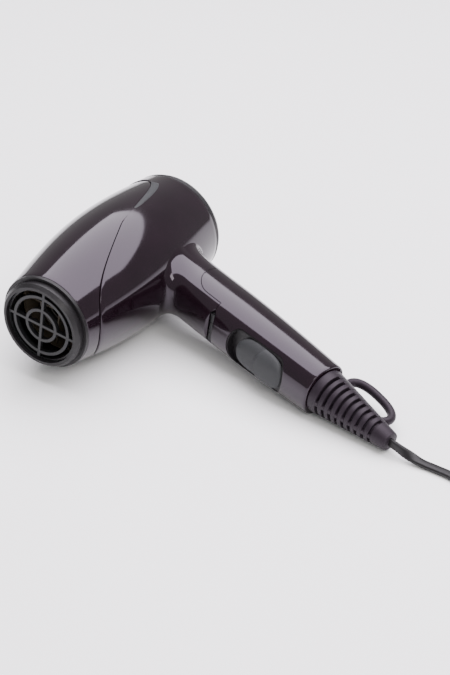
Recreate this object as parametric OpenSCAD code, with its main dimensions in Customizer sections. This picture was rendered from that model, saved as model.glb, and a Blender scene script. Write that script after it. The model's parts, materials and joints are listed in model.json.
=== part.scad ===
// Travel hair dryer with a folding handle, lying on its side.
// Dryer axes before it is laid down: X from the barrel's axis towards the handle,
// Y along the barrel from the outlet to the air inlet, Z across the dryer.

/* [Barrel] */
// Radius of the widest part of the barrel
belly_r = 36; // [34:0.5:40]
// Distance of the widest part from the outlet lip
belly_y = 74; // [70:1:78]
// Radius of the barrel's front edge, behind the outlet collar
nose_r = 27; // [26.5:0.1:27.5]
// Distance of the barrel's front edge from the outlet lip
nose_y = 7; // [6.5:0.5:7.5]
// Radius of the barrel's rear edge
tail_r = 31.5; // [31:0.5:32]
// Distance of the barrel's rear edge from the outlet lip
tail_y = 126; // [125:1:128]
// Thickness of the moulded walls
wall = 2; // [1.8:0.1:2.2]

/* [Handle] */
// Angle by which the handle leans towards the outlet
lean = 16.5; // [12:0.5:20]
// Where the handle's centre line meets the barrel's axis, from the outlet lip
handle_base = 96.5; // [94:0.5:98]
// Distance of the fold line from the barrel's axis, along the handle
fold_x = 76; // [75:0.5:78]
// Distance of the handle's end from the barrel's axis, along the handle
end_x = 148; // [146:1:150]
// Half of the handle's width at the fold line
grip_w = 16; // [15:0.5:17]
// Half of the handle's depth at the fold line
grip_d = 16.8; // [16:0.2:17.5]

/* [Switch] */
// Where the slider's barrel end is, along the handle
slider_x = 97; // [96:0.5:98]
// Length of the slider
slider_len = 33; // [30:1:34]
// Half of the slider's width
slider_w = 10; // [9:0.5:10.5]
// Travel of the slider from off to full power
slider_travel = 6; // [5:0.5:6]

/* [Cord] */
// Width of the flat twin cable
cord_w = 5.2; // [5:0.1:5.6]
// Thickness of the flat twin cable
cord_t = 2.8; // [2.6:0.1:3]
// Length of the tapered strain relief
relief_len = 48; // [46:1:50]
// Half of the cord coil's width outside
coil_r = 35; // [33:1:36]
// Width of the bundle of turns
coil_bundle = 17; // [16:1:18]

/* [Resting place] */
// Angle by which the handle dips until its end meets the surface
droop = 8.9; // [8.8:0.05:9]

/* [Hidden] */
$fn = 64;
middle_x = 75.8;
middle_y = 66;
fit_gap = 0.15;
fold_gap = 0.35;
sleeve_step = 0.4;
seam_mid = 66.2;
seam_half = 51.8;
seam_turn = 84;
section_power = 2.4;
ear_x = 64.5;
ear_y = 3;
ear_r = 12.7;
hinge_y = -13.2;
knuckle_r = 2.2;
pin_r = 1.2;
pin_gap = 0.05;
relief_r0 = 12.7;
relief_r1 = 5.2;
shaft_r = 1.15;
motor_r = 12;
duct_r = 29;
duct_wall = 1.2;
coil_x = 186;
coil_y = -2;
coil_h = 10.4;
// Short end of the cord from the coil to the plug
route_end = [[219.4, -1, 8.6], [219.4, 5, 7.8], [219.4, 12, 6.2], [219.4, 19.5, 5]];
// Cord's way from the strain relief to the coil, on the surface
route = [
    [109.9, -25.2, 6.9], [112, -25.8, 6.6], [115, -26.4, 6], [119, -26.8, 4.8],
    [124, -27, 3.4], [129, -27, 2.2], [136, -27.2, 1.8], [144, -28, 1.8],
    [152, -30, 1.8], [160, -32.4, 2.1], [168, -33.8, 2.6], [176, -33, 3.2]
];

// ---------- placing ----------

module dryer() {
    translate([-middle_x, -middle_y, belly_r]) rotate([0, droop, 0]) children();
}

module in_handle() {
    translate([0, handle_base, 0]) rotate([0, 0, -lean]) children();
}

module along_barrel(y = 0) {
    translate([0, y, 0]) rotate([-90, 0, 0]) children();
}

// ---------- barrel outline ----------

function barrel_r(y) = y < belly_y
    ? nose_r + (belly_r - nose_r) * sin(90 * (y - nose_y) / (belly_y - nose_y))
    : tail_r + (belly_r - tail_r) * cos(90 * (y - belly_y) / (tail_y - belly_y));

barrel_steps = 22;
function barrel_y(i) = nose_y + (tail_y - nose_y) * i / barrel_steps;

// Solid of the barrel's outline, shrunk by inset
module barrel_solid(inset = 0, y0 = nose_y, y1 = tail_y) {
    outline = [for (i = [0:barrel_steps]) [barrel_r(barrel_y(i)) - inset, barrel_y(i)]];
    intersection() {
        along_barrel() rotate_extrude($fn = 72)
            polygon(concat([[0, nose_y]], outline, [[0, tail_y]]));
        along_barrel(y0) cylinder(r = belly_r + 4, h = y1 - y0);
    }
}

// ---------- seam between front and rear shell ----------
// The angle runs from 0 at the handle side to 180 at the top of the barrel.

function tanh(x) = 1 - 2 / (exp(2 * x) + 1);
function seam_rate(a) = a < seam_turn ? 0.032 : 0.07;
function seam_y(a) = seam_mid + seam_half * tanh(seam_rate(a) * (a - seam_turn));
function seam_point(a) = [barrel_r(seam_y(a)) * cos(a), seam_y(a)];

seam_step = 6;
seam_curve = [for (a = [0:seam_step:180]) seam_point(a)];

// Everything ahead of the seam, as seen from the side
module front_region(grow = 0) {
    first = seam_curve[0];
    last = seam_curve[len(seam_curve) - 1];
    shifted = [for (p = seam_curve) [p[0], p[1] + grow]];
    linear_extrude(height = 100, center = true)
        polygon(concat([[60, -10], [60, first[1] + grow]], shifted, [[-60, last[1] + grow], [-60, -10]]));
}

insert_from = 88;
insert_to = 107;
insert_w = 5.4;

// Blade outline of the grey insert, which lies along the seam
module insert_outline(grow = 0) {
    n = 10;
    angles = [for (i = [0:n]) insert_from + (insert_to - insert_from) * i / n];
    low = [for (a = angles) seam_point(a) + [-grow, 0]];
    high = [for (i = [n:-1:0]) seam_point(angles[i]) + [insert_w * pow(i / n, 0.35) + grow, 0]];
    polygon(concat(low, high));
}

module accent_insert(side) {
    color("dimgray") intersection() {
        difference() {
            barrel_solid(-0.25);
            barrel_solid(1.2 - fit_gap);
        }
        scale([1, 1, side]) linear_extrude(height = 60) insert_outline();
    }
}

module insert_pocket() {
    difference() {
        linear_extrude(height = 100, center = true) insert_outline(fit_gap);
        barrel_solid(1.2);
    }
}

// ---------- handle and neck outline ----------

function bow(t) = (t < 0 ? -1 : 1) * pow(abs(t), 2 / section_power);
function section(x, w, front, rear, n = 40) = [
    for (i = [0:n - 1])
        let (c = cos(360 * i / n), s = sin(360 * i / n))
            [x, (c < 0 ? front : rear) * bow(c), w * bow(s)]
];

function grip_t(x) = max(0, (x - fold_x) / (end_x - fold_x));
function grip_half_w(x) = grip_w - 1.85 * pow(grip_t(x), 1.6);
function grip_half_d(x) = grip_d - 3.2 * pow(grip_t(x), 1.5);
function flare(x) = pow(max(0, 60 - x), 2) / 60;

// One closed solid through a list of rings with equal point counts
module loft(rings) {
    n = len(rings[0]);
    m = len(rings);
    points = [for (r = rings) for (p = r) p];
    sides = [
        for (j = [0:m - 2]) for (i = [0:n - 1])
            let (a = j * n + i, b = j * n + (i + 1) % n)
                each [[a, a + n, b], [b, a + n, b + n]]
    ];
    start = [for (i = [0:n - 1]) i];
    finish = [for (i = [n - 1:-1:0]) (m - 1) * n + i];
    polyhedron(points = points, faces = concat(sides, [start, finish]), convexity = 6);
}

neck_stations = [28, 33, 38, 43, 48, 54, 60, 68, 78];
grip_stations = [46, 60, 70, 76, 84, 92, 100, 108, 116, 124, 132, 140, 146, 148];

// The inner lofts run a little past both ends of the outer ones
function longer(list, by) = [
    for (i = [0:len(list) - 1]) list[i] + (i == 0 ? -by : i == len(list) - 1 ? by : 0)
];

module neck_solid(inset = 0) {
    loft([for (x = longer(neck_stations, inset))
        section(x, grip_w - inset + flare(x) / 3, grip_d - inset + flare(x), grip_d - inset + flare(x) / 3)]);
}

module grip_solid(inset = 0) {
    loft([for (x = longer(grip_stations, inset))
        section(x, grip_half_w(x) - inset, grip_half_d(x) - inset, grip_half_d(x) - inset)]);
}

// The part that swings, seen from the side: a rounded ear at the rear, square at the front.
// It is grown on every side by grow.
module swing_region(grow = 0) {
    r = ear_r + grow;
    half = 40;
    translate([ear_x, ear_y, -half]) cylinder(r = r, h = 2 * half);
    translate([ear_x - r, ear_y, -half]) cube([200, 60, 2 * half]);
    translate([ear_x, ear_y - r, -half]) cube([200, 60, 2 * half]);
    translate([fold_x - grow, -50, -half]) cube([200, 90, 2 * half]);
}

// Room for the hinge knuckles and for the front edges when the handle folds
module hinge_relief() {
    relief = 2.6;
    translate([fold_x, hinge_y, 0]) {
        cylinder(r = knuckle_r + 0.5, h = 18.4, center = true);
        linear_extrude(height = 60, center = true)
            polygon([[-0.4, 0.2], [0.4, 0.2], [relief + 0.5, -4.5], [-relief - 0.5, -4.5]]);
    }
}

// ---------- barrel pieces ----------

module front_shell() {
    color([0.03, 0.02, 0.03]) intersection() {
        difference() {
            barrel_solid(sleeve_step);
            barrel_solid(wall + sleeve_step, nose_y - 1, tail_y + 1);
            insert_pocket();
        }
        front_region(-fit_gap);
    }
}

module rear_shell() {
    color([0.03, 0.02, 0.03]) difference() {
        barrel_solid();
        front_region(fit_gap);
        barrel_solid(wall, nose_y - 1, tail_y + 1);
        insert_pocket();
        in_handle() translate([20, 0, 0]) rotate([0, 90, 0]) cylinder(r = 9, h = 30);
    }
}

// The neck that carries the fold hinge, open where it meets the barrel
module neck_shell() {
    color([0.03, 0.02, 0.03]) difference() {
        in_handle() difference() {
            neck_solid();
            neck_solid(wall);
            swing_region(fold_gap);
            hinge_relief();
        }
        barrel_solid(-0.05);
    }
}

module outlet_collar() {
    color([0.06, 0.06, 0.06]) along_barrel() rotate_extrude($fn = 96) polygon([
        [21.4, 0], [23, 0], [24.2, 1.6], [24.4, 1.8], [24.4, 5.2], [26.4, 5.2], [26.7, 6.8],
        [24.4, 6.8], [24.2, 16], [23.2, 16], [23.2, 8], [21.4, 6]
    ]);
}

module ring(r, w, h, y) {
    along_barrel(y) difference() {
        cylinder(r = r + w / 2, h = h);
        translate([0, 0, -1]) cylinder(r = r - w / 2, h = h + 2);
    }
}

grille_y = 1.6;

module outlet_grille() {
    bar = 1.5;
    color([0.09, 0.09, 0.09]) {
        ring(16.9, 1.7, 2.4, grille_y);
        ring(9.1, 1.7, 2.4, grille_y);
        ring(20.75, 1, 4, grille_y + 0.8);
        for (a = [0, 90]) along_barrel(grille_y + 1.2) rotate([0, 0, a])
            cube([41.2, bar, 2.4], center = true);
    }
}

module mica_tube() {
    color("tan") ring(22.6, 0.6, 46, 17);
}

board_y = 18;
board_len = 42;
coil_count = 6;

module heater_board() {
    translate([0, board_y + board_len / 2, 0]) cube([42, board_len, 0.8], center = true);
}

module coil_rings(grow = 0) {
    for (i = [0:coil_count - 1]) along_barrel(board_y + 6 + i * 6)
        rotate_extrude($fn = 48) translate([17, 0]) circle(r = 1.1 + grow, $fn = 16);
}

module heater_board_upright() {
    color("wheat") difference() {
        rotate([0, 90, 0]) heater_board();
        coil_rings(0.1);
        translate([0, board_y + board_len, 0]) cube([3, board_len, 1.1], center = true);
    }
}

module heater_board_cross() {
    color("wheat") difference() {
        heater_board();
        coil_rings(0.1);
        translate([0, board_y, 0]) cube([1.1, board_len, 3], center = true);
    }
}

module heating_coils() {
    color("silver") coil_rings();
}

module thermostat() {
    color("gray") translate([8, 46, 0.55]) {
        cube([7, 12, 3]);
        translate([1.5, 12, 1]) cube([4, 5, 0.6]);
    }
}

module thermal_fuse() {
    color("silver") translate([-9, 36, 2]) rotate([-90, 0, 0]) {
        cylinder(r = 1.4, h = 10);
        translate([0, 0, -5]) cylinder(r = 0.4, h = 20);
    }
}

duct_y = 72;
duct_len = 44;

module fan_duct() {
    color([0.2, 0.2, 0.22]) {
        ring(duct_r, duct_wall, duct_len, duct_y);
        ring(motor_r + 1.1, 1.8, 22, duct_y);
        for (i = [0:5]) along_barrel(duct_y) rotate([0, 0, 60 * i + 15])
            translate([motor_r + 1.6, -0.6, 1]) cube([duct_r - motor_r - 1.9, 1.2, 19]);
        ring(duct_r + 0.8, 1.4, 1.6, duct_y + duct_len - 1.6);
    }
}

module motor() {
    color("silver") along_barrel(duct_y) difference() {
        union() {
            cylinder(r = motor_r, h = 27);
            translate([0, 0, -1.6]) cylinder(r = 4, h = 30.6);
        }
        translate([0, 0, -3]) cylinder(r = shaft_r + pin_gap, h = 40);
    }
}

module motor_shaft() {
    color("gainsboro") along_barrel(duct_y - 2.5) cylinder(r = shaft_r, h = 42);
}

fan_y = 102.5;
blade_count = 7;

module fan_impeller() {
    color([0.25, 0.25, 0.28]) along_barrel(fan_y) difference() {
        union() {
            cylinder(r = 11, h = 8);
            for (i = [0:blade_count - 1]) rotate([0, 0, 360 * i / blade_count])
                translate([10, 0, 4]) rotate([38, 0, 0]) translate([0, -5.4, -0.6])
                    cube([16.5, 10.8, 1.2]);
        }
        translate([0, 0, -5]) cylinder(r = shaft_r, h = 30);
    }
}

cover_len = 5.5;

module rear_cover() {
    color([0.05, 0.05, 0.05]) {
        along_barrel(tail_y + 0.3) rotate_extrude($fn = 96) polygon([
            [27.4, 0], [31.2, 0], [31.2, 2], [30.3, 3.9], [28.6, cover_len], [26.6, cover_len],
            [26.6, 3.4], [27.4, 3]
        ]);
        ring(28.3, 1.6, 4, tail_y - 3.6);
        for (r = [6:5:26]) ring(r, 1.6, 2, tail_y + 2.6);
        for (i = [0:7]) along_barrel(tail_y + 2) rotate([0, 0, 45 * i + 22.5])
            translate([5.6, -0.7, 0]) cube([21.4, 1.4, 2]);
        along_barrel(tail_y + 2) cylinder(r = 3.5, h = 2.6);
        for (i = [0:7]) along_barrel(tail_y + 2) rotate([0, 0, 45 * i + 22.5])
            translate([2.5, -0.7, 0]) cube([4, 1.4, 2]);
    }
}

module filter_mesh() {
    n = 4;
    pitch = 5.4;
    color("silver") along_barrel(tail_y - 2) {
        difference() {
            cylinder(r = 27.2, h = 0.8);
            translate([0, 0, -1]) cylinder(r = 25.8, h = 3);
        }
        intersection() {
            cylinder(r = 26.4, h = 0.6);
            for (i = [-n:n]) {
                translate([i * pitch, 0, 0.3]) cube([0.5, 60, 0.4], center = true);
                translate([0, i * pitch, 0.3]) cube([60, 0.5, 0.4], center = true);
            }
        }
    }
}

module screw(len) {
    cylinder(r = 1.3, h = len);
    difference() {
        translate([0, 0, len]) cylinder(r = 2.6, h = 1.6);
        translate([0, 0, len + 1.3]) cube([3.4, 0.8, 1.2], center = true);
        translate([0, 0, len + 1.3]) cube([0.8, 3.4, 1.2], center = true);
    }
}

module barrel_screws() {
    color("darkgray") for (s = [-1, 1])
        translate([18.9, 119.2, s * 18.6]) rotate([-90, 0, 0]) screw(3);
}

// ---------- fold hinge ----------

module knuckle(z0, z1) {
    translate([fold_x, hinge_y, z0]) cylinder(r = knuckle_r, h = z1 - z0);
}

module pin_bore(r) {
    translate([fold_x, hinge_y, -20]) cylinder(r = r, h = 40);
}

module hinge_bracket_barrel() {
    color("silver") difference() {
        union() {
            for (s = [-1, 1]) {
                knuckle(s * 5.9 - 2.4, s * 5.9 + 2.4);
                translate([fold_x - 12, hinge_y - 0.6, s * 5.9 - 2.4]) cube([12, 1.4, 4.8]);
            }
            translate([fold_x - 13.4, hinge_y - 0.6, -8.3]) cube([3.4, 1.4, 16.6]);
        }
        pin_bore(pin_r);
    }
}

module hinge_pin() {
    color("gainsboro") translate([fold_x, hinge_y, -8.8]) cylinder(r = pin_r, h = 17.6);
}

module hinge_bracket_handle() {
    color("silver") difference() {
        union() {
            knuckle(-3.2, 3.2);
            translate([fold_x, hinge_y - 0.6, -3.2]) cube([9, 1.4, 6.4]);
        }
        pin_bore(pin_r + pin_gap);
    }
}

// A round wire through the points
module wire(points, r) {
    loft([for (i = [0:len(points) - 1])
        let (t = tangent(points, i), s = unit(cross([0, 0, 1], t)), u = cross(t, s))
            [for (k = [0:7]) points[i] + r * (s * cos(45 * k) + u * sin(45 * k))]]);
}

module barrel_wires() {
    color("firebrick") for (z = [-3, 3])
        wire([[46, 94, z], [36, 91, z], [31.6, 84, z], [31.6, 72, z], [30, 68, z], [22, 64.2, z / 2]], 0.9);
}

// ---------- handle pieces ----------

back_y = 10.5;

module grip_shell() {
    difference() {
        intersection() {
            grip_solid();
            swing_region();
        }
        intersection() {
            grip_solid(wall);
            swing_region(-wall);
            translate([0, -50, -50]) cube([end_x - 1.6, 100, 100]);
        }
        hinge_relief();
    }
}

module slot_outline(x0, x1, w) {
    hull() {
        translate([x0 + w * 0.6, 0]) scale([0.6, 1]) circle(r = w);
        translate([x1 - w * 0.6, 0]) scale([0.6, 1]) circle(r = w);
    }
}

bezel_x0 = slider_x - slider_travel - 1.4;
bezel_x1 = slider_x + slider_len + 1.4;

// A straight shaft through the front wall, seen from the front
module front_cut(x0, x1, w, y0, y1) {
    translate([0, y1, 0]) rotate([90, 0, 0]) linear_extrude(height = y1 - y0) slot_outline(x0, x1, w);
}

module handle_shell() {
    color([0.03, 0.02, 0.03]) difference() {
        grip_shell();
        translate([ear_x + 4, back_y, -50]) cube([200, 60, 100]);
        front_cut(bezel_x0 - fit_gap, bezel_x1 + fit_gap, slider_w + 1.4 + fit_gap, -30, -8);
        translate([50, 3, 0]) rotate([0, 90, 0]) cylinder(r = 4, h = 8);
        translate([end_x - 4, 0, 0]) rotate([0, 90, 0]) cylinder(r = 7.6, h = 10);
    }
}

module handle_back_cover() {
    color([0.03, 0.02, 0.03]) intersection() {
        difference() {
            grip_solid();
            intersection() {
                grip_solid(wall);
                translate([0, -50, -50]) cube([end_x - 1.6, 100, 100]);
            }
        }
        translate([ear_x + 4 + fit_gap, back_y + fit_gap, -50]) cube([200, 60, 100]);
    }
}

module switch_bezel() {
    color([0.05, 0.05, 0.05]) difference() {
        intersection() {
            front_cut(bezel_x0, bezel_x1, slider_w + 1.4, -30, -10.4);
            grip_solid(0.4);
        }
        front_cut(slider_x - slider_travel - 0.3, slider_x + slider_len + 0.3, slider_w + 0.3, -30, -12);
        front_cut(slider_x + 6, slider_x + 22, 3, -30, -5);
    }
}

slider_top = -18.2;

module switch_slider() {
    color([0.4, 0.4, 0.41]) difference() {
        union() {
            intersection() {
                front_cut(slider_x, slider_x + slider_len, slider_w, slider_top, -12.2);
                translate([slider_x - 10, slider_top + 26, 0]) rotate([0, 90, 0]) cylinder(r = 26, h = 60);
                translate([slider_x + 17, slider_top + 90, 0]) cylinder(r = 90, h = 60, center = true, $fn = 180);
            }
            translate([slider_x + 13, -12.3, -2]) cube([3, 4.9, 4]);
        }
        for (i = [0:2]) translate([slider_x + 11 + 2.4 * i, slider_top, 0])
            rotate([0, 0, 45]) cube([0.8, 0.8, 12], center = true);
    }
}

module switch_contact() {
    color("peru") translate([slider_x + 11, -7.4, -3]) {
        cube([7, 1.2, 6]);
        translate([1, 1.2, 1]) cube([5, 1.6, 1]);
        translate([1, 1.2, 4]) cube([5, 1.6, 1]);
    }
}

module switch_housing() {
    color([0.85, 0.85, 0.8]) difference() {
        translate([slider_x - 2, -8.6, -6]) cube([28, 12, 12]);
        translate([slider_x + 3, -9.6, -3.6]) cube([17, 9.2, 7.2]);
    }
}

module diode_board() {
    color("darkolivegreen") {
        translate([slider_x + 28, -6, -8]) cube([1.6, 12, 16]);
        for (z = [-4.5, 4.5]) translate([slider_x + 29.6, -1, z]) rotate([0, 90, 0])
            cylinder(r = 1.8, h = 5);
    }
}

module handle_wires() {
    color("firebrick") for (z = [-3, 3]) {
        wire([[54, 3, z / 2], [66, 6, z], [90, 7, z], [slider_x + 22, 7, z], [slider_x + 32, 7, z],
            [end_x - 10.5, 0.4, z / 2]], 0.9);
    }
}

module cable_clamp() {
    color([0.7, 0.7, 0.7]) for (s = [-1, 1])
        translate([end_x - 9, s * 3.1 - 1.5, -7]) cube([4, 3, 14]);
}

module handle_screws() {
    color("darkgray") for (x = [84, 134])
        translate([x, grip_half_d(x) - 5.2, 0]) rotate([-90, 0, 0]) screw(3);
}

// ---------- strain relief ----------

relief_x1 = end_x + relief_len;
rib_count = 9;
rib_pitch = 4.1;

module relief_cone(grow = 0) {
    translate([end_x + 0.3, 0, 0]) rotate([0, 90, 0])
        cylinder(r1 = relief_r0 + grow, r2 = relief_r1 + grow, h = relief_len - 0.3);
}

module cable_bore(x0, x1) {
    translate([x0, 0, 0]) rotate([0, 90, 0]) linear_extrude(height = x1 - x0) hull()
        for (s = [-1, 1]) translate([s * (cord_w - cord_t) / 2, 0]) circle(r = cord_t / 2 + 0.05, $fn = 24);
}

module relief_slots() {
    for (i = [0:rib_count - 1]) {
        x = end_x + 6 + rib_pitch * i;
        r = relief_r0 - (x - end_x) * (relief_r0 - relief_r1) / relief_len;
        for (s = [-1, 1]) translate([x, 0, 0]) intersection() {
            rotate([0, 90, 0]) difference() {
                cylinder(r = r + 3, h = 1.7, center = true);
                cylinder(r = r * 0.72, h = 4, center = true);
            }
            translate([-3, -20, s > 0 ? 1.1 : -21.1]) cube([6, 20 + r * 0.2, 20]);
        }
    }
}

loop_x = end_x + 19.5;
loop_y = 13.2;

module hanging_loop() {
    translate([loop_x, loop_y, 0]) rotate([0, 0, -9]) linear_extrude(height = 5, center = true)
        difference() {
            hull() for (s = [-1, 1]) translate([s * 9, 0]) circle(r = 9.4);
            hull() for (s = [-1, 1]) translate([s * 9, 0]) circle(r = 5.6);
        }
}

module strain_relief() {
    color([0.05, 0.04, 0.06]) difference() {
        union() {
            difference() {
                relief_cone();
                relief_slots();
            }
            difference() {
                hanging_loop();
                relief_cone(-1);
            }
            translate([end_x - 3, 0, 0]) rotate([0, 90, 0]) cylinder(r = 7.3, h = 4);
            translate([end_x - 4.4, 0, 0]) rotate([0, 90, 0]) cylinder(r = 8.6, h = 2.2);
        }
        cable_bore(end_x - 6, relief_x1 + 1);
    }
}

// ---------- cord, coil and plug ----------

function unit(v) = v / norm(v);
function tangent(p, i) = unit(p[min(i + 1, len(p) - 1)] - p[max(i - 1, 0)]);
function between(p, i, t) =
    let (a = p[max(i - 1, 0)], b = p[i], c = p[i + 1], d = p[min(i + 2, len(p) - 1)])
        0.5 * (2 * b + (c - a) * t + (2 * a - 5 * b + 4 * c - d) * t * t
            + (3 * b - a - 3 * c + d) * t * t * t);
function smooth(p, steps) = concat(
    [for (i = [0:len(p) - 2]) for (k = [0:steps - 1]) between(p, i, k / steps)],
    [p[len(p) - 1]]
);

module flat_tube(p) {
    sides = 10;
    loft([for (i = [0:len(p) - 1])
        let (t = tangent(p, i), s = unit(cross([0, 0, 1], t)), u = cross(t, s))
            [for (k = [0:sides - 1])
                p[i] + s * (cord_w / 2) * cos(360 * k / sides) + u * (cord_t / 2) * sin(360 * k / sides)]]);
}

module power_cord() {
    color([0.04, 0.04, 0.04]) {
        flat_tube(smooth(route, 2));
        flat_tube(route_end);
    }
}

module cord_coil() {
    color([0.04, 0.04, 0.04]) translate([coil_x, coil_y, 0]) rotate_extrude($fn = 64)
        translate([coil_r - coil_bundle, tie_wall]) square([coil_bundle, coil_h]);
}

tie_wall = 0.8;

module cord_tie() {
    color("black") translate([coil_x - coil_r + coil_bundle / 2, coil_y, coil_h / 2 + tie_wall])
        difference() {
            cube([coil_bundle + 3 * tie_wall, 4, coil_h + 2 * tie_wall], center = true);
            cube([coil_bundle, 6, coil_h], center = true);
        }
}

plug_x = 219.4;
plug_y = 24;

module plug_body() {
    color([0.05, 0.05, 0.05]) translate([plug_x, plug_y, 0]) hull() {
        translate([-6, 0, 0]) cube([12, 20, 10]);
        translate([-3, -4.5, 2]) cube([6, 4, 6]);
    }
}

module plug_pins() {
    color("silver") for (s = [-1, 1])
        translate([plug_x + s * 3.4, plug_y + 20, 5]) rotate([-90, 0, 0]) cylinder(r = 1.2, h = 6);
}

// ---------- assembly ----------

dryer() front_shell();
dryer() rear_shell();
dryer() neck_shell();
dryer() accent_insert(1);  // accent_insert_left
dryer() accent_insert(-1);  // accent_insert_right
dryer() outlet_collar();
dryer() outlet_grille();
dryer() mica_tube();
dryer() heater_board_upright();
dryer() heater_board_cross();
dryer() heating_coils();
dryer() thermostat();
dryer() thermal_fuse();
dryer() fan_duct();
dryer() motor();
dryer() motor_shaft();
dryer() fan_impeller();
dryer() rear_cover();
dryer() filter_mesh();
dryer() barrel_screws();
dryer() barrel_wires();
dryer() in_handle() hinge_bracket_barrel();
dryer() in_handle() hinge_pin();
dryer() in_handle() handle_shell();
dryer() in_handle() handle_back_cover();
dryer() in_handle() hinge_bracket_handle();
dryer() in_handle() switch_bezel();
dryer() in_handle() switch_slider();
dryer() in_handle() switch_contact();
dryer() in_handle() switch_housing();
dryer() in_handle() diode_board();
dryer() in_handle() handle_wires();
dryer() in_handle() cable_clamp();
dryer() in_handle() handle_screws();
dryer() in_handle() strain_relief();
power_cord();
cord_coil();
cord_tie();
plug_body();
plug_pins();
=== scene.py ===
import json
import math

import bmesh
import bpy
import numpy as np
from mathutils import Matrix, Vector


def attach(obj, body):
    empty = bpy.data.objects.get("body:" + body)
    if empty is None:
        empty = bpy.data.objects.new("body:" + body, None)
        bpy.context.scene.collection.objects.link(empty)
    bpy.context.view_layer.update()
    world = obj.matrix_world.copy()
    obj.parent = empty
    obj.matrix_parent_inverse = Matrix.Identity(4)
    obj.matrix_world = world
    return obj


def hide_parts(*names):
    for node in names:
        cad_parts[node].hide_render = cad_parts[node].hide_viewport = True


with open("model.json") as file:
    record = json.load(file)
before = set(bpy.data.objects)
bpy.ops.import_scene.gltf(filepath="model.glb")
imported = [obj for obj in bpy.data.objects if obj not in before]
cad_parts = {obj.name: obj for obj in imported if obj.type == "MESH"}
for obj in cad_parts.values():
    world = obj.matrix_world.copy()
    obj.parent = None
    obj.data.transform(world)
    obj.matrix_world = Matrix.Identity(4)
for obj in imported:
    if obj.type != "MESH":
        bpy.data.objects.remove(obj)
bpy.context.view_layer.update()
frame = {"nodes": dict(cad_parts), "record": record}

MM = 0.001

# ---------- the dryer's own dimensions, in millimetres, as in the CAD model ----------

BELLY_R, BELLY_Y = 36.0, 74.0
NOSE_R, NOSE_Y = 27.0, 7.0
TAIL_R, TAIL_Y = 31.5, 126.0
LEAN, DROOP = math.radians(16.5), math.radians(8.9)
HANDLE_BASE = 96.5
FOLD_X, END_X = 76.0, 148.0
GRIP_W, GRIP_D = 16.0, 16.8
POWER = 2.4
TAPER_W, TAPER_W_POWER = 1.85, 1.6
TAPER_D, TAPER_D_POWER = 3.2, 1.5
EAR_X, EAR_Y, EAR_R = 64.5, 3.0, 12.7
HINGE_Y = -13.2
SLEEVE_STEP = 0.4
SEAM_MID, SEAM_HALF, SEAM_TURN = 66.2, 51.8, 84
SEAM_RATE_NEAR, SEAM_RATE_FAR = 0.032, 0.07
SEAM_GAP = 0.22
BLADE_FIRST, BLADE_LAST, BLADE_W = 88, 107, 5.4
FOLD_GAP = 0.35
KNUCKLE_ROOM_R, KNUCKLE_ROOM_HALF = 2.7, 9.2
NOTCH_HALF, NOTCH_DEPTH = 3.4, 4.5
BACK_SEAM_X, BACK_SEAM_Y, BACK_GAP = EAR_X + 4, 10.5, 0.12
FAR = 60
BEYOND = 260
SLIDER_X, SLIDER_LEN, SLIDER_W, SLIDER_TRAVEL = 97.0, 33.0, 10.0, 6.0
CORD_W, CORD_T = 5.2, 2.8
COIL_X, COIL_Y = 186.0, -2.0

TO_WORLD = Matrix.Translation((-75.8, -66.0, BELLY_R)) @ Matrix.Rotation(DROOP, 4, "Y")
TO_HANDLE = Matrix.Translation((0, HANDLE_BASE, 0)) @ Matrix.Rotation(-LEAN, 4, "Z")


# ---------- camera ----------

def add_camera():
    data = bpy.data.cameras.new("camera")
    data.sensor_fit = "VERTICAL"
    data.sensor_height = 36.0
    data.lens = 92.85
    data.clip_start = 0.05
    camera = bpy.data.objects.new("camera", data)
    bpy.context.scene.collection.objects.link(camera)
    azimuth, elevation = math.radians(31.31), math.radians(32.89)
    camera.rotation_euler = (math.pi / 2 - elevation, 0, azimuth)
    camera.location = (0.4050, -0.6698, 0.5247)
    bpy.context.scene.camera = camera


add_camera()


# ---------- materials ----------

def new_material(name):
    material = bpy.data.materials.new(name)
    material.use_nodes = True
    tree = material.node_tree
    return material, tree, tree.nodes["Principled BSDF"]


def noise(tree, scale, detail=3.0):
    node = tree.nodes.new("ShaderNodeTexNoise")
    coords = tree.nodes.new("ShaderNodeTexCoord")
    node.inputs["Scale"].default_value = scale
    node.inputs["Detail"].default_value = detail
    tree.links.new(coords.outputs["Object"], node.inputs["Vector"])
    return node


def ramp(tree, source, low, high, start=0.35, end=0.65):
    node = tree.nodes.new("ShaderNodeValToRGB")
    node.color_ramp.elements[0].position = start
    node.color_ramp.elements[1].position = end
    node.color_ramp.elements[0].color = low
    node.color_ramp.elements[1].color = high
    tree.links.new(source, node.inputs["Fac"])
    return node


def grey(v):
    return (v, v, v, 1)


def surface(name, colour, shade=0.85, rough=(0.3, 0.4), metallic=0.0, grain=900.0, bump=0.05,
            specular=0.5, tint=(1, 1, 1)):
    """A moulded or metal surface: mottled colour, uneven roughness and a fine grain."""
    material, tree, shader = new_material(name)
    broad = noise(tree, 60.0)
    fine = noise(tree, grain, 4.0)
    dark = tuple(c * shade for c in colour) + (1,)
    mottle = ramp(tree, broad.outputs["Fac"], dark, tuple(colour) + (1,))
    tree.links.new(mottle.outputs["Color"], shader.inputs["Base Color"])
    gloss = ramp(tree, broad.outputs["Fac"], grey(rough[0]), grey(rough[1]), 0.3, 0.7)
    tree.links.new(gloss.outputs["Color"], shader.inputs["Roughness"])
    lift = tree.nodes.new("ShaderNodeBump")
    lift.inputs["Strength"].default_value = bump
    lift.inputs["Distance"].default_value = 0.0003
    tree.links.new(fine.outputs["Fac"], lift.inputs["Height"])
    tree.links.new(lift.outputs["Normal"], shader.inputs["Normal"])
    shader.inputs["Metallic"].default_value = metallic
    shader.inputs["Specular IOR Level"].default_value = specular
    shader.inputs["Specular Tint"].default_value = tuple(tint) + (1,)
    return material


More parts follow.
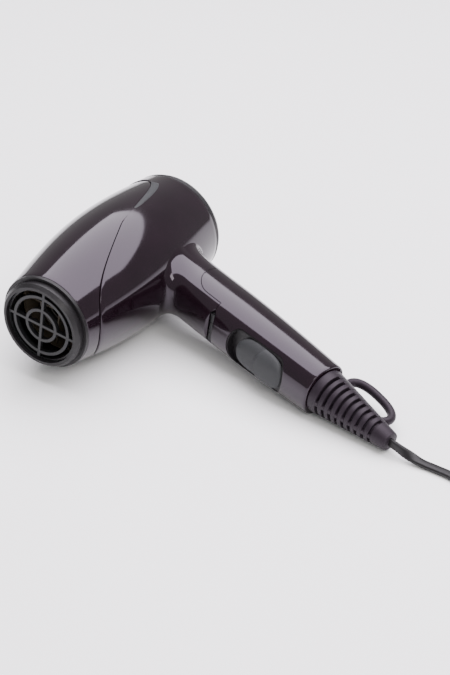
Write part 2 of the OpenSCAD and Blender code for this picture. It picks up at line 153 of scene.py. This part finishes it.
MATERIALS = {
    "gloss_black": surface("gloss_black", (0.007, 0.0032, 0.0055), 0.8, (0.07, 0.11), grain=300,
                           bump=0.004, specular=0.38, tint=(0.96, 0.87, 1.0)),
    "accent_grey": surface("accent_grey", (0.034, 0.035, 0.037), 0.9, (0.5, 0.6), grain=2500,
                           bump=0.12, specular=0.14),
    "matte_black": surface("matte_black", (0.008, 0.007, 0.008), 0.85, (0.38, 0.5), grain=2500,
                           bump=0.12, specular=0.25),
    "grille_black": surface("grille_black", (0.01, 0.01, 0.011), 0.85, (0.3, 0.42), grain=2500,
                            bump=0.1, specular=0.25),
    "mica": surface("mica", (0.1, 0.08, 0.055), 0.6, (0.4, 0.6), grain=700, bump=0.3),
    "resistance_wire": surface("resistance_wire", (0.12, 0.11, 0.1), 0.6, (0.4, 0.55), 1.0, 1500, 0.2),
    "steel": surface("steel", (0.55, 0.55, 0.56), 0.85, (0.25, 0.38), 1.0, 1800, 0.1),
    "inner_plastic": surface("inner_plastic", (0.1, 0.1, 0.11), 0.85, (0.4, 0.5), grain=1500, bump=0.1),
    "copper": surface("copper", (0.7, 0.4, 0.22), 0.8, (0.25, 0.35), 1.0, 1500, 0.08),
    "circuit_board": surface("circuit_board", (0.05, 0.16, 0.05), 0.7, (0.35, 0.45), grain=1200, bump=0.1),
    "wire_red": surface("wire_red", (0.42, 0.03, 0.02), 0.8, (0.35, 0.45), grain=1200, bump=0.05),
    "soft_black": surface("soft_black", (0.014, 0.010, 0.014), 0.8, (0.42, 0.54), grain=2200,
                          bump=0.2, specular=0.2, tint=(1.0, 0.9, 1.0)),
    "cord_black": surface("cord_black", (0.008, 0.007, 0.008), 0.85, (0.38, 0.5), grain=1800,
                          bump=0.1, specular=0.25),
    "brass": surface("brass", (0.7, 0.52, 0.22), 0.85, (0.2, 0.3), 1.0, 1500, 0.05),
}

# Painted shade: the hinge pin and brackets get a near-black steel so that the hinge slot reads dark
# instead of showing bright metal.
HINGE_METAL = surface("hinge_steel_painted_shade", (0.012, 0.012, 0.013), 0.8, (0.4, 0.5), 0.6, 1800, 0.1)
HINGE_NODES = ("hinge_pin", "hinge_bracket_barrel", "hinge_bracket_handle")

for entry in frame["record"]["subparts"]:
    cad = frame["nodes"][entry["node"]]
    cad.data.materials.clear()
    shaded_in_slot = entry["node"] in HINGE_NODES
    cad.data.materials.append(HINGE_METAL if shaded_in_slot else MATERIALS[entry["material_slot"]])


# ---------- mesh helpers ----------

def mesh_object(name, verts, faces, slot, smooth_angle=40):
    mesh = bpy.data.meshes.new(name)
    mesh.from_pydata([tuple(Vector(v) * MM) for v in verts], [], faces)
    mesh.validate()
    bm = bmesh.new()
    bm.from_mesh(mesh)
    bmesh.ops.remove_doubles(bm, verts=bm.verts, dist=1e-6)
    bmesh.ops.recalc_face_normals(bm, faces=bm.faces)
    bm.to_mesh(mesh)
    bm.free()
    mesh.materials.append(MATERIALS[slot])
    obj = bpy.data.objects.new(name, mesh)
    bpy.context.scene.collection.objects.link(obj)
    soften(obj, smooth_angle)
    return obj


def soften(obj, angle):
    obj.data.shade_smooth()
    obj.data.set_sharp_from_angle(angle=math.radians(angle))


def grid_faces(rows, cols, closed=True):
    last = cols if closed else cols - 1
    return [
        (r * cols + c, r * cols + (c + 1) % cols, (r + 1) * cols + (c + 1) % cols, (r + 1) * cols + c)
        for r in range(rows - 1) for c in range(last)
    ]


def lofted(name, rings, slot, capped=True, angle=40):
    """A surface through rings of equal length, closed round each ring."""
    cols = len(rings[0])
    verts = [p for ring in rings for p in ring]
    faces = grid_faces(len(rings), cols)
    if capped:
        faces.append(tuple(range(cols)))
        faces.append(tuple((len(rings) - 1) * cols + i for i in reversed(range(cols))))
    return mesh_object(name, verts, faces, slot, angle)


def placed(point, in_handle=False):
    point = Vector(point)
    if in_handle:
        point = TO_HANDLE @ point
    return TO_WORLD @ point


def apply_modifiers(obj):
    graph = bpy.context.evaluated_depsgraph_get()
    mesh = bpy.data.meshes.new_from_object(obj.evaluated_get(graph))
    obj.modifiers.clear()
    obj.data = mesh


def cut(obj, cutter, operation="DIFFERENCE", angle=30):
    modifier = obj.modifiers.new("cut", "BOOLEAN")
    modifier.object = cutter
    modifier.operation = operation
    modifier.solver = "EXACT"
    apply_modifiers(obj)
    bpy.data.objects.remove(cutter)
    soften(obj, angle)


def bevelled(obj, width, segments=3, angle=40):
    modifier = obj.modifiers.new("bevel", "BEVEL")
    modifier.width = width * MM
    modifier.segments = segments
    modifier.limit_method = "ANGLE"
    modifier.angle_limit = math.radians(35)
    apply_modifiers(obj)
    soften(obj, angle)


def prism(name, outline, z0, z1, in_handle=True):
    """A closed prism across the dryer, from an outline seen from the side."""
    n = len(outline)
    verts = [placed((x, y, z), in_handle) for z in (z0, z1) for x, y in outline]
    faces = [(i, (i + 1) % n, n + (i + 1) % n, n + i) for i in range(n)]
    faces += [tuple(reversed(range(n))), tuple(range(n, 2 * n))]
    return mesh_object(name, verts, faces, "gloss_black")


# ---------- barrel ----------

def barrel_r(y):
    if y < BELLY_Y:
        return NOSE_R + (BELLY_R - NOSE_R) * math.sin(math.pi / 2 * (y - NOSE_Y) / (BELLY_Y - NOSE_Y))
    return TAIL_R + (BELLY_R - TAIL_R) * math.cos(math.pi / 2 * (y - BELLY_Y) / (TAIL_Y - BELLY_Y))


def seam_y(angle):
    a = abs(math.degrees(angle))
    rate = SEAM_RATE_NEAR if a < SEAM_TURN else SEAM_RATE_FAR
    return SEAM_MID + SEAM_HALF * math.tanh(rate * (a - SEAM_TURN))


def barrel_point(angle, y, inset):
    r = barrel_r(min(max(y, NOSE_Y), TAIL_Y)) - inset
    return placed((r * math.cos(angle), y, r * math.sin(angle)))


def shell(name, start, end, slot, inset, nodes, rows=40, cols=192):
    """A barrel wall between two edge curves, with rounded edges and a wall turned inward."""
    edge = [(0.0, 1.6), (0.0, 0.5), (0.06, 0.22), (0.2, 0.06), (0.45, 0.0)]
    angles = [2 * math.pi * i / cols - math.pi for i in range(cols)]
    rings = []
    for along, depth in edge:
        rings.append([barrel_point(a, start(a) + along, inset + depth) for a in angles])
    for r in range(1, rows):
        t = r / rows
        rings.append([
            barrel_point(a, start(a) + 0.45 + (end(a) - start(a) - 0.9) * t, inset) for a in angles
        ])
    for along, depth in reversed(edge):
        rings.append([barrel_point(a, end(a) - along, inset + depth) for a in angles])
    obj = lofted(name, rings, slot, capped=False, angle=50)
    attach(obj, "barrel")
    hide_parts(*nodes)
    return obj


shell("front_sleeve", lambda a: NOSE_Y, lambda a: seam_y(a) - SEAM_GAP, "gloss_black", SLEEVE_STEP,
      ["front_shell"])
shell("rear_housing", lambda a: seam_y(a) + SEAM_GAP, lambda a: TAIL_Y, "gloss_black", 0.0,
      ["rear_shell"])


def accent_insert(name, side, node):
    """The grey blade along the seam: crowned across, with a rounded tip."""
    steps, across = 36, 12
    rings = []
    for i in range(steps + 1):
        t = i / steps
        a = math.radians(BLADE_FIRST + (BLADE_LAST - BLADE_FIRST) * t)
        y = seam_y(a) + SEAM_GAP
        wide = BLADE_W * max(t, 0.004) ** 0.35 / barrel_r(y)
        profile = []
        for k in range(across + 1):
            s = k / across
            lift = 0.45 * min(1.0, 5 * s, 5 * (1 - s)) * min(1.0, 6 * t + 0.1, 12 * (1 - t) + 0.1)
            profile.append(barrel_point(side * (a - wide * s), y, -lift))
        profile += [barrel_point(side * (a - wide * (1 - k / across)), y, 1.0) for k in range(across + 1)]
        rings.append(profile)
    obj = lofted(name, rings, "accent_grey", angle=50)
    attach(obj, "barrel")
    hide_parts(node)


accent_insert("accent_blade_left", 1, "accent_insert_left")
accent_insert("accent_blade_right", -1, "accent_insert_right")


# ---------- neck and handle ----------

def bow(t):
    return math.copysign(abs(t) ** (2 / POWER), t)


def section(x, w, d, cols):
    return [
        Vector((x, d * bow(math.cos(2 * math.pi * i / cols)), w * bow(math.sin(2 * math.pi * i / cols))))
        for i in range(cols)
    ]


def half_w(x):
    return GRIP_W - TAPER_W * max(0.0, (x - FOLD_X) / (END_X - FOLD_X)) ** TAPER_W_POWER


def half_d(x):
    return GRIP_D - TAPER_D * max(0.0, (x - FOLD_X) / (END_X - FOLD_X)) ** TAPER_D_POWER


def swing_outline(grow, steps=24):
    """The swinging part seen from the side, as a closed outline."""
    r = EAR_R + grow
    arc = [
        (EAR_X + r * math.cos(a), EAR_Y + r * math.sin(a))
        for a in [math.pi + math.pi / 2 * i / steps for i in range(steps + 1)]
    ]
    front = FOLD_X - grow
    return [(EAR_X - r, FAR)] + arc + [(front, EAR_Y - r), (front, -FAR), (BEYOND, -FAR), (BEYOND, FAR)]


def relief_outline():
    """The notch in front of the hinge that gives the fold its room."""
    root, top, bottom = 0.4, HINGE_Y + 0.2, HINGE_Y - NOTCH_DEPTH
    return [
        (FOLD_X - root, top),
        (FOLD_X + root, top),
        (FOLD_X + NOTCH_HALF, bottom),
        (FOLD_X - NOTCH_HALF, bottom),
    ]


def knuckle_room():
    """The round hollow that holds the knuckles and the pin."""
    circle = [
        (FOLD_X + KNUCKLE_ROOM_R * math.cos(a), HINGE_Y + KNUCKLE_ROOM_R * math.sin(a))
        for a in [2 * math.pi * i / 32 for i in range(32)]
    ]
    return prism("knuckle_room", circle, -KNUCKLE_ROOM_HALF, KNUCKLE_ROOM_HALF)


def on_barrel(point, grow=0.0):
    """The nearest place on the barrel's surface to a point beside it."""
    y = min(max(point.y, NOSE_Y), TAIL_Y - 2)
    radius = barrel_r(y) - grow
    scale = radius / math.hypot(point.x, point.z)
    return Vector((point.x * scale, y, point.z * scale))


def neck():
    """The fixed root of the handle, flowing onto the barrel in a fillet."""
    cols, fillet_x, fillet_r = 96, 51.0, 9.0
    straight = section(fillet_x, GRIP_W, GRIP_D, cols)
    rings = [[placed(p + Vector((x - fillet_x, 0, 0)), True) for p in straight]
             for x in np.linspace(FOLD_X + 3, fillet_x, 26)]
    bends = 18
    foot, corner = [], []
    for p in straight:
        low, high = 20.0, fillet_x
        for _ in range(30):
            x = (low + high) / 2
            q = TO_HANDLE @ Vector((x, p.y, p.z))
            if math.hypot(q.x, q.z) > barrel_r(min(max(q.y, NOSE_Y), TAIL_Y)):
                high = x
            else:
                low = x
        q = TO_HANDLE @ Vector((high, p.y, p.z))
        corner.append(q)
        centre = TO_HANDLE @ Vector((high, 0, 0))
        out = Vector((0, q.y - centre.y, q.z - centre.z)).normalized()
        spread = fillet_r * (0.55 if out.y > 0 else 1.0)
        foot.append(on_barrel(q + out * spread, 0.12))
    for k in range(1, bends + 1):
        t = k / bends
        ring = []
        for p, c, f in zip(straight, corner, foot):
            a = TO_HANDLE @ p
            ring.append(placed(a * (1 - t) ** 2 + c * 2 * t * (1 - t) + f * t ** 2))
        rings.append(ring)
    obj = lofted("neck", rings, "gloss_black", capped=True)
    cut(obj, prism("swing", swing_outline(FOLD_GAP), -40, 40))
    cut(obj, prism("relief", relief_outline(), -30, 30))
    cut(obj, knuckle_room())
    bevelled(obj, 0.35)
    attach(obj, "barrel")
    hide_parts("neck_shell")


def slot_prism(name, x0, x1, w, y0, y1):
    """A straight plug through the handle's front, with rounded ends."""
    outline = []
    steps = 20
    for centre, turn in ((x1 - w * 0.6, -math.pi / 2), (x0 + w * 0.6, math.pi / 2)):
        for i in range(steps + 1):
            a = turn + math.pi * i / steps
            outline.append((centre + 0.6 * w * math.cos(a), w * math.sin(a)))
    n = len(outline)
    verts = [placed((x, y, z), True) for y in (y0, y1) for x, z in outline]
    faces = [(i, (i + 1) % n, n + (i + 1) % n, n + i) for i in range(n)]
    faces += [tuple(reversed(range(n))), tuple(range(n, 2 * n))]
    return mesh_object(name, verts, faces, "gloss_black")


def grip(name, nodes, back):
    """One half of the folding handle: the front shell or the back cover."""
    cols = 112
    stations = list(np.linspace(48, END_X - 1.2, 72))
    rings = [[placed(p, True) for p in section(x, half_w(x), half_d(x), cols)] for x in stations]
    for along, inset in ((0.75, 0.12), (1.05, 0.4), (1.2, 0.9)):
        x = END_X - 1.2 + along
        rings.append([placed(p, True) for p in section(x, half_w(x) - inset, half_d(x) - inset, cols)])
    obj = lofted(name, rings, "gloss_black")
    cut(obj, prism("swing", swing_outline(0), -40, 40), "INTERSECT")
    gap = BACK_GAP if back else 0
    x0, y0 = BACK_SEAM_X + gap, BACK_SEAM_Y + gap
    outline = [(x0, y0), (BEYOND, y0), (BEYOND, FAR), (x0, FAR)]
    if back:
        cut(obj, prism("keep", outline, -40, 40), "INTERSECT")
    else:
        cut(obj, prism("drop", outline, -40, 40))
        cut(obj, prism("relief", relief_outline(), -30, 30))
        cut(obj, knuckle_room())
        recess_x0, recess_x1 = SLIDER_X - SLIDER_TRAVEL - 1.0, SLIDER_X + SLIDER_LEN + 1.2
        cut(obj, slot_prism("recess", recess_x0, recess_x1, SLIDER_W + 1.2, -40, -10.6))
    bevelled(obj, 0.3)
    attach(obj, "handle")
    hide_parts(*nodes)


neck()
grip("grip_front", ["handle_shell"], False)
grip("grip_back", ["handle_back_cover"], True)


# ---------- slider ----------

def slider():
    """A crowned thumb slider with a low step across it."""
    steps, across = 66, 28
    x0, x1, w = SLIDER_X, SLIDER_X + SLIDER_LEN, SLIDER_W

    def reach(t):
        return w * (1 - abs(2 * t - 1) ** 3.4) ** 0.5

    rings = []
    for i in range(steps + 1):
        t = 0.004 + 0.992 * i / steps
        x = x0 + (x1 - x0) * t
        half = max(reach(t), 0.2)
        ring = []
        for k in range(across + 1):
            s = -1 + 2 * k / across
            z = half * s
            skin = half_d(x) * (1 - min(abs(z) / half_w(x), 0.99) ** POWER) ** (1 / POWER)
            step = 1.1 / (1 + math.exp((x - (SLIDER_X + 14.5 + 0.035 * z * z)) * 7.0))
            swell = 1.5 * (1 - abs(s) ** 5) * (1 - abs(2 * t - 1) ** 8)
            edge = (1 - max(0.0, abs(s) - 0.9) * 4) * 0.6
            ring.append(placed((x, -(skin + swell - step + edge * 0.6), z), True))
        ring += [placed((x, -12.2, half * (1 - 2 * k / across)), True) for k in range(across + 1)]
        rings.append(ring)
    obj = lofted("thumb_slider", rings, "accent_grey", angle=45)
    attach(obj, "slider")
    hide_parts("switch_slider")


slider()


# ---------- strain relief ----------

RELIEF_X0, RELIEF_X1 = END_X + 0.3, END_X + 48.0
RELIEF_R0, RELIEF_R1 = 12.7, 5.2
RIB_COUNT, RIB_PITCH, RIB_FIRST, SLOT_HALF = 9, 4.1, 6.0, 0.85
LOOP_X, LOOP_Y, LOOP_TILT = END_X + 19.5, 13.2, math.radians(-9)


def relief_cone():
    """The tapered rubber sleeve, slotted on both sides of a front spine."""
    cols = 144
    slots = [END_X + RIB_FIRST + RIB_PITCH * i for i in range(RIB_COUNT)]
    stations = [(RELIEF_X0, False, 0.6), (RELIEF_X0 + 0.2, False, 0.15), (RELIEF_X0 + 0.6, False, 0.0)]
    for x in slots:
        low, high = x - SLOT_HALF, x + SLOT_HALF
        stations += [(low - 0.2, False, 0.0), (low - 0.02, False, 0.15), (low, True, 0.0)]
        stations += [(high, True, 0.0), (high + 0.02, False, 0.15), (high + 0.2, False, 0.0)]
    stations += [(RELIEF_X1 - 0.6, False, 0.0), (RELIEF_X1 - 0.2, False, 0.15), (RELIEF_X1, False, 0.6)]
    rings = []
    for x, slotted, inset in stations:
        r = RELIEF_R0 + (RELIEF_R1 - RELIEF_R0) * (x - RELIEF_X0) / (RELIEF_X1 - RELIEF_X0) - inset
        ring = []
        for k in range(cols):
            turn = 2 * math.pi * k / cols
            open_side = abs(r * math.sin(turn)) > 1.1 and r * math.cos(turn) < 0.2 * r
            radius = r * 0.74 if slotted and open_side else r
            ring.append(placed((x, radius * math.cos(turn), radius * math.sin(turn)), True))
        rings.append(ring)
    obj = lofted("relief_sleeve", rings, "soft_black", angle=35)
    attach(obj, "handle")
    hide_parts("strain_relief")


def hanging_loop():
    """The rounded rubber loop on the rear side of the strain relief."""
    steps, sides = 96, 20
    rings = []
    for i in range(steps):
        turn = 2 * math.pi * i / steps
        along, out = math.cos(turn), math.sin(turn)
        centre = Vector((16.4 * bow(along), 7.5 * bow(out), 0))
        normal = Vector((along / 16.4, out / 7.5, 0)).normalized()
        ring = []
        for k in range(sides):
            a = 2 * math.pi * k / sides
            p = centre + normal * (2.3 * math.cos(a)) + Vector((0, 0, 2.5 * math.sin(a)))
            p = Matrix.Rotation(LOOP_TILT, 4, "Z") @ p + Vector((LOOP_X, LOOP_Y, 0))
            ring.append(placed(p, True))
        rings.append(ring)
    verts = [p for ring in rings for p in ring]
    last = (steps - 1) * sides
    faces = grid_faces(steps, sides) + [
        (last + c, last + (c + 1) % sides, (c + 1) % sides, c) for c in range(sides)
    ]
    obj = mesh_object("loop", verts, faces, "soft_black", 60)
    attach(obj, "handle")
    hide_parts("strain_relief")


relief_cone()
hanging_loop()


# ---------- cord ----------

ROUTE = [
    (109.9, -25.2, 6.9), (112, -25.8, 6.6), (115, -26.4, 6), (119, -26.8, 4.8),
    (124, -27, 3.4), (129, -27, 2.2), (136, -27.2, 1.8), (144, -28, 1.8),
    (152, -30, 1.8), (160, -32.4, 2.1), (168, -33.8, 2.6), (176, -33, 3.2),
]
ROUTE_END = [(219.4, -1, 8.6), (219.4, 5, 7.8), (219.4, 12, 6.2), (219.4, 19.5, 5)]
COIL_ROWS = (3.4, 8.6)
COIL_RADII = (33.4, 30.0, 26.6, 23.2, 19.8)
TURN_POINTS = 60


def ease(t):
    t = min(max(t, 0.0), 1.0)
    return t * t * (3 - 2 * t)


def coil_turns():
    """The stored turns: inward along the lower row, outward along the upper one."""
    radii = list(COIL_RADII) + list(reversed(COIL_RADII))
    heights = [COIL_ROWS[0]] * 5 + [COIL_ROWS[1]] * 5
    points = []
    total = len(radii) * TURN_POINTS + TURN_POINTS // 4
    for i in range(TURN_POINTS // 12, total):
        turn = min(i // TURN_POINTS, len(radii) - 1)
        t = i / TURN_POINTS - turn
        after = min(turn + 1, len(radii) - 1)
        blend = ease((t - 0.7) / 0.3) if after > turn else 0.0
        r = radii[turn] + (radii[after] - radii[turn]) * blend
        z = heights[turn] + (heights[after] - heights[turn]) * blend
        angle = -math.pi / 2 + 2 * math.pi * i / TURN_POINTS
        points.append((COIL_X + r * math.cos(angle), COIL_Y + r * math.sin(angle), z))
    return points


def catmull(points, steps):
    out = []
    p = [Vector(q) for q in points]
    for i in range(len(p) - 1):
        a, b, c, d = p[max(i - 1, 0)], p[i], p[i + 1], p[min(i + 2, len(p) - 1)]
        for k in range(steps):
            t = k / steps
            out.append(0.5 * (2 * b + (c - a) * t + (2 * a - 5 * b + 4 * c - d) * t * t
                              + (3 * b - a - 3 * c + d) * t ** 3))
    out.append(p[-1])
    return out


def upright(length):
    """How far the flat cord stands on edge: at the exit and in the coil, but not between."""
    return 1.0 - ease((length - 4) / 16) + ease((length - 52) / 22)


def cord():
    line = catmull(ROUTE, 5) + [Vector(p) for p in coil_turns()] + catmull(ROUTE_END[1:], 5)
    rings, sides, length = [], 16, 0.0
    for i, p in enumerate(line):
        if i:
            length += (p - line[i - 1]).length
        t = (line[min(i + 1, len(line) - 1)] - line[max(i - 1, 0)]).normalized()
        side = Vector((0, 0, 1)).cross(t).normalized()
        up = t.cross(side)
        turn = math.radians(90) * min(upright(length), 1.0)
        wide = side * math.cos(turn) + up * math.sin(turn)
        thin = up * math.cos(turn) - side * math.sin(turn)
        ring = []
        for k in range(sides):
            a = 2 * math.pi * k / sides
            core = (CORD_W - CORD_T) / 2 * (1 if math.cos(a) > 0 else -1)
            waist = 1 - 0.16 * math.exp(-(math.cos(a) / 0.35) ** 2)
            ring.append(p + wide * (core * min(1, abs(math.cos(a)) * 3) + CORD_T / 2 * math.cos(a))
                        + thin * (CORD_T / 2 * math.sin(a) * waist))
        rings.append(ring)
    obj = lofted("flat_cord", rings, "cord_black", angle=60)
    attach(obj, "handle")
    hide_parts("power_cord", "cord_coil")


cord()


# ---------- light and floor ----------

def add_floor():
    bpy.ops.mesh.primitive_plane_add(size=8, location=(0, 0, 0))
    floor = bpy.context.object
    floor.name = "floor"
    material, tree, shader = new_material("floor")
    tint = ramp(tree, noise(tree, 3.0).outputs["Fac"], grey(0.93), grey(0.95))
    tree.links.new(tint.outputs["Color"], shader.inputs["Base Color"])
    shader.inputs["Roughness"].default_value = 0.6
    floor.data.materials.append(material)


def softbox(name, place, aim, size, power, colour=(1, 1, 1)):
    data = bpy.data.lights.new(name, "AREA")
    data.shape = "RECTANGLE"
    data.size, data.size_y = size
    data.energy = power
    data.color = colour
    light = bpy.data.objects.new(name, data)
    light.location = place
    light.rotation_euler = (Vector(aim) - Vector(place)).to_track_quat("-Z", "Y").to_euler()
    bpy.context.scene.collection.objects.link(light)


def add_world():
    world = bpy.data.worlds.new("world")
    world.use_nodes = True
    world.node_tree.nodes["Background"].inputs["Color"].default_value = (1, 1, 1, 1)
    world.node_tree.nodes["Background"].inputs["Strength"].default_value = 0.6
    bpy.context.scene.world = world


add_floor()
add_world()
softbox("overhead", (0.05, 0.3, 1.1), (0, 0, 0.03), (2.0, 1.3), 62, (0.97, 0.93, 1.0))
softbox("camera_side", (0.9, -0.7, 1.1), (0, 0, 0.03), (1.0, 0.4), 12, (1.0, 0.97, 0.95))
